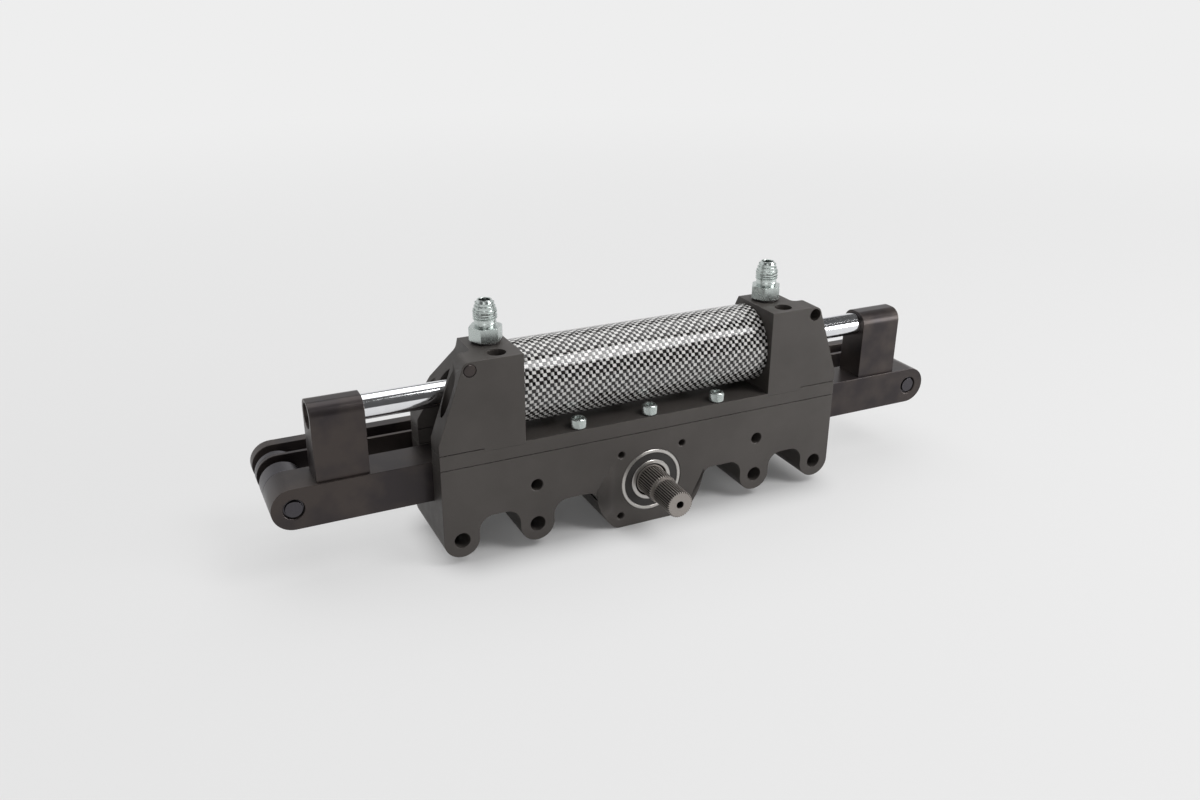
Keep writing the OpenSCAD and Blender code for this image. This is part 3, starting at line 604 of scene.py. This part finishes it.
# %% Threaded fittings
PORT_X = 97.0
PORT_Y = 28.5
THREAD_LOW = 111.7
THREAD_PITCH = 1.41
THREAD_TURNS = 2.7
THREAD_ROOT = 6.4
THREAD_CREST = 7.15
RIDGE_PROFILE = [(0.0, 0.0), (0.32, 1.0), (0.5, 1.0), (0.82, 0.0), (1.0, 0.0)]
STEPS_ALONG = 150
RUN_OUT = 0.08
SMOOTH_ON_FITTINGS = 50


def wound_ridge():
    """The helical ridge of a thread round the Z axis."""
    bpy.ops.object.select_all(action="DESELECT")
    bpy.ops.mesh.primitive_grid_add(x_subdivisions=4, y_subdivisions=STEPS_ALONG, size=1)
    ridge = bpy.context.object
    for vertex in ridge.data.vertices:
        step = round((vertex.co.x + 0.5) * 4)
        share = vertex.co.y + 0.5
        rise, height = RIDGE_PROFILE[step]
        run_out = min(1.0, share / RUN_OUT, (1 - share) / RUN_OUT)
        radius = THREAD_ROOT - 0.05 + (THREAD_CREST - THREAD_ROOT + 0.05) * height * run_out
        turn = math.tau * THREAD_TURNS * share
        lift = THREAD_LOW + THREAD_PITCH * (THREAD_TURNS * share + rise)
        vertex.co = Vector((radius * math.cos(turn), radius * math.sin(turn), lift)) * MM
    select_only(ridge)
    bpy.ops.object.mode_set(mode="EDIT")
    bpy.ops.mesh.select_all(action="SELECT")
    bpy.ops.mesh.normals_make_consistent(inside=False)
    bpy.ops.object.mode_set(mode="OBJECT")
    face = ridge.data.polygons[len(ridge.data.polygons) // 2]
    if face.normal.dot(Vector((face.center.x, face.center.y, 0))) < 0:
        ridge.data.flip_normals()
    select_only(ridge)
    bpy.ops.object.shade_smooth_by_angle(angle=math.radians(SMOOTH_ON_FITTINGS))
    return ridge


# Height in the CAD model: new height and radius, all in millimetres.
TURNED_PROFILE = {
    110.2: (111.4, 6.25), 110.6: (111.7, THREAD_ROOT), 115.2: (116.9, THREAD_ROOT), 115.6: (117.3, 7.2),
    117.2: (118.5, 6.95), 119.6: (120.5, 6.35), 121.2: (122.6, 5.75),
}


def turn_shank_and_nose(piece, x):
    """Turns the thread's shank down to its root and gives the nose above it its bullet shape."""
    for vertex in piece.data.vertices:
        across = Vector((vertex.co.x - x * MM, vertex.co.y - PORT_Y * MM, 0))
        turned = TURNED_PROFILE.get(round(vertex.co.z / MM, 1))
        if turned and across.length > 5 * MM:
            across.length = turned[1] * MM
            vertex.co = Vector((x * MM + across.x, PORT_Y * MM + across.y, turned[0] * MM))


def join_pieces(main, *others):
    """Makes the other pieces part of the main one."""
    select_only(main)
    for other in others:
        other.select_set(True)
    bpy.ops.object.join()


def copy_moved(original, x, y):
    """A copy with its own mesh, moved by x and y millimetres."""
    piece = original.copy()
    piece.data = original.data.copy()
    bpy.context.scene.collection.objects.link(piece)
    piece.data.transform(Matrix.Translation(Vector((x, y, 0)) * MM))
    return piece


ridge = wound_ridge()
for node_name, x in (("left_port_fitting", -PORT_X), ("right_port_fitting", PORT_X)):
    fitting = copied(node_name)
    turn_shank_and_nose(fitting, x)
    make_faces_whole(fitting)
    break_edges(fitting, 0.12, smooth_below=SMOOTH_ON_FITTINGS)
    join_pieces(fitting, copy_moved(ridge, x, PORT_Y))
    hand_over(fitting, zinc, "housing", "zinc_plate", node_name)
    print(node_name, len(fitting.data.polygons), "faces with its thread")
bpy.data.objects.remove(ridge)

# %% [markdown]
# ## The cover screws
#
# The heads of the socket screws are knurled, so that they can be run down with the fingers. The photograph
# shows them a little wider and taller than the CAD model has them, so the heads of the copy are stretched
# first. The knurl is a band of 48 shallow ridges. One band is made from a cylinder whose corners lie in turn
# on the ridge and in the groove, and each of the six screws gets a copy of it.

# %% Knurled cover screws
SCREW_PLACES = [(-48.5, 5.1), (0.0, 5.1), (48.5, 5.1), (-48.5, 51.9), (0.0, 51.9), (48.5, 51.9)]
HEAD_LOW = max(vertex.co.z for vertex in nodes["cover_plate"].data.vertices) / MM
HEAD_RADIUS = 4.7
HEAD_HEIGHT = 6.0
CAD_HEAD_RADIUS = 4.3
CAD_HEAD_HEIGHT = 5.0
SOCKET_REACH = 2.9
KNURL_DEPTH = 0.2
KNURL_RIDGES = 48
KNURL_SPAN = (0.3, HEAD_HEIGHT - 0.8)


def knurled_band():
    """One capped band of ridges about the Z axis, from just above the seat to below the top chamfer."""
    low, high = KNURL_SPAN
    bpy.ops.object.select_all(action="DESELECT")
    bpy.ops.mesh.primitive_cylinder_add(vertices=2 * KNURL_RIDGES, radius=HEAD_RADIUS * MM,
                                        depth=(high - low) * MM, location=(0, 0, 0))
    band = bpy.context.object
    for vertex in band.data.vertices:
        place = round(math.atan2(vertex.co.y, vertex.co.x) / math.tau * 2 * KNURL_RIDGES)
        if place % 2:
            vertex.co.x *= 1 - KNURL_DEPTH / HEAD_RADIUS
            vertex.co.y *= 1 - KNURL_DEPTH / HEAD_RADIUS
        vertex.co.z += (HEAD_LOW + (low + high) / 2) * MM
    return band


screws = copied("cover_screws")
for vertex in screws.data.vertices:
    if vertex.co.z > (HEAD_LOW - 0.01) * MM:
        vertex.co.z = HEAD_LOW * MM + (vertex.co.z - HEAD_LOW * MM) * HEAD_HEIGHT / CAD_HEAD_HEIGHT
        for x, y in SCREW_PLACES:
            across = Vector((vertex.co.x - x * MM, vertex.co.y - y * MM, 0))
            if SOCKET_REACH * MM < across.length < (CAD_HEAD_RADIUS + 0.2) * MM:
                across.length *= (HEAD_RADIUS - KNURL_DEPTH) / CAD_HEAD_RADIUS
                vertex.co.x = x * MM + across.x
                vertex.co.y = y * MM + across.y
make_faces_whole(screws)
break_edges(screws, 0.15, smooth_below=40)
first_band = knurled_band()
join_pieces(screws, *[copy_moved(first_band, x, y) for x, y in SCREW_PLACES])
bpy.data.objects.remove(first_band)
hand_over(screws, zinc, "housing", "zinc_plate", "cover_screws")
print("cover screws:", len(screws.data.polygons), "faces with their knurls")

# %% [markdown]
# ## The floor
#
# The part stands on a pale sheet that fills the picture. Close to the part the sheet takes the lamps' light
# and so the part's soft shadow. From there on it glows more and more with one even tone, so that the picture
# has no dark edge. How far a point lies from the housing's footprint sets the share of the glow. The light
# that the sheet throws back on the part is kept lower than it looks, because the real undersides are dark.

# %% Floor
FLOOR_Z = cad_low.z
FLOOR_HALF = 40.0
STUDIO_TONE = "EEEEEE"
FOOTPRINT_CENTRE = (0, 0.03, 0)
FOOTPRINT_HALF = (0.115, 0.022, 0)
SHADOW_REACH = 0.035
GLOW_REACH = 1.8
GLOW_UNDER_PART = 0.06
GLOW_AT_SHADOW_EDGE = 0.66


def pale_floor():
    """A matt sheet with a glow that grows with the distance from the part."""
    material, tree = new_material("pale_sheet")
    paths = add_node(tree, "LightPath").outputs
    mirrored = math_node(tree, "MAXIMUM", paths["Is Glossy Ray"], paths["Is Transmission Ray"])
    seen = math_node(tree, "MAXIMUM", paths["Is Camera Ray"], mirrored)
    place = add_node(tree, "TexCoord").outputs["Object"]
    beside = add_node(tree, "VectorMath", {0: place, 1: FOOTPRINT_CENTRE}, operation="SUBTRACT")
    beside = add_node(tree, "VectorMath", {0: beside.outputs[0]}, operation="ABSOLUTE")
    beside = add_node(tree, "VectorMath", {0: beside.outputs[0], 1: FOOTPRINT_HALF}, operation="SUBTRACT")
    beside = add_node(tree, "VectorMath", {0: beside.outputs[0], 1: (0, 0, 0)}, operation="MAXIMUM")
    away = add_node(tree, "VectorMath", {0: beside.outputs[0]}, operation="LENGTH").outputs["Value"]
    near_glow = remap(tree, away, 0.0, SHADOW_REACH, GLOW_UNDER_PART, GLOW_AT_SHADOW_EDGE, "SMOOTHSTEP")
    far_glow = remap(tree, away, SHADOW_REACH, GLOW_REACH, 0.0, 1 - GLOW_AT_SHADOW_EDGE, "SMOOTHSTEP")
    glow_share = math_node(tree, "MULTIPLY", math_node(tree, "ADD", near_glow, far_glow), seen)
    lit = blend_colours(tree, seen, hex_colour("6E6E6E"), hex_colour("D2D2D2"))
    diffuse = add_node(tree, "BsdfDiffuse", {"Color": lit})
    glow = add_node(tree, "Emission", {"Color": hex_colour(STUDIO_TONE), "Strength": 1.0})
    mixed = add_node(tree, "MixShader", {0: glow_share, 1: diffuse.outputs[0], 2: glow.outputs[0]})
    finish_surface(tree, mixed)
    return material


bpy.ops.object.select_all(action="DESELECT")
bpy.ops.mesh.primitive_plane_add(size=2 * FLOOR_HALF, location=(0, 0, FLOOR_Z))
floor = bpy.context.object
floor.name = "floor"
floor.data.materials.append(pale_floor())
print("floor at", round(FLOOR_Z / MM, 1), "mm")

# %% [markdown]
# ## The lamps and the room
#
# The light was read from the photograph. The bright line along the wrapped cylinder stands 40 degrees above
# its front, and its lower edge is sharp, so the key lamp is a small soft box high up at the front right. A
# large one overhead lights the tops, and one at each side the ends. Beside its bright lines the cylinder's
# gloss reflects almost nothing, so the room is dark in front and above. It is pale only low down behind the
# part, where the tops and the rods reflect the far end of the sheet. What the camera sees directly is pale
# all round.

# %% Lamps and world
def soft_light(name, place, aim, width, height, power):
    """A rectangular lamp at place that points at aim."""
    lamp = bpy.data.lights.new(name, "AREA")
    lamp.shape = "RECTANGLE"
    lamp.size = width
    lamp.size_y = height
    lamp.energy = power
    holder = bpy.data.objects.new(name, lamp)
    direction = Vector(aim) - Vector(place)
    holder.matrix_world = Matrix.Translation(place) @ direction.to_track_quat("-Z", "Y").to_matrix().to_4x4()
    bpy.context.scene.collection.objects.link(holder)
    return holder


# Name: place, point that the lamp aims at, width and height, all in metres, and power in watts.
SOFT_BOXES = {
    "ceiling_softbox": ((0.1, 0.9, 2.4), (0, 0.1, 0.03), 3.2, 2.4, 46),
    "key_softbox": ((0.66, -0.76, 1.33), (0, 0, 0.07), 0.6, 0.72, 11),
    "right_softbox": ((1.4, -1.0, 0.3), (0, 0, 0.03), 0.8, 0.8, 19),
    "left_softbox": ((-0.9, -1.6, 0.35), (0, 0, 0.03), 0.9, 0.9, 4),
}
for lamp_name, settings in SOFT_BOXES.items():
    soft_light(lamp_name, *settings)

ROOM_LIGHT = 0.26
ROOM_DARK = 0.1
ROOM_PALE = 1.0
ROOM_BEYOND_FLOOR = 0.95


def studio_world():
    """A room that lights the part weakly and evenly, and shows dark and pale sides in reflections."""
    world = bpy.data.worlds.new("studio")
    world.use_nodes = True
    tree = world.node_tree
    tree.nodes.clear()
    paths = add_node(tree, "LightPath").outputs
    seen = math_node(tree, "MAXIMUM", paths["Is Camera Ray"], paths["Is Glossy Ray"])
    seen = math_node(tree, "MAXIMUM", seen, paths["Is Transmission Ray"])
    direction = add_node(tree, "SeparateXYZ", {0: add_node(tree, "TexCoord").outputs["Generated"]})
    behind = remap(tree, direction.outputs["Y"], -0.3, 0.5, 0.0, 1.0, "SMOOTHSTEP")
    low = remap(tree, direction.outputs["Z"], 0.25, 0.62, 1.0, 0.0, "SMOOTHSTEP")
    pale = math_node(tree, "MULTIPLY", behind, low)
    mirrored = remap(tree, pale, 0.0, 1.0, ROOM_DARK, ROOM_PALE)
    direct = math_node(tree, "MULTIPLY", paths["Is Camera Ray"], ROOM_BEYOND_FLOOR)
    shown = math_node(tree, "MAXIMUM", mirrored, direct)
    extra = math_node(tree, "SUBTRACT", shown, ROOM_LIGHT)
    strength = math_node(tree, "MULTIPLY_ADD", extra, seen, ROOM_LIGHT)
    background = add_node(tree, "Background", {"Color": hex_colour("F2F2F3"), "Strength": strength})
    output = add_node(tree, "OutputWorld")
    tree.links.new(background.outputs[0], output.inputs["Surface"])
    return world


bpy.context.scene.world = studio_world()
bpy.context.scene.view_settings.view_transform = "Standard"
print("lamps:", ", ".join(SOFT_BOXES))
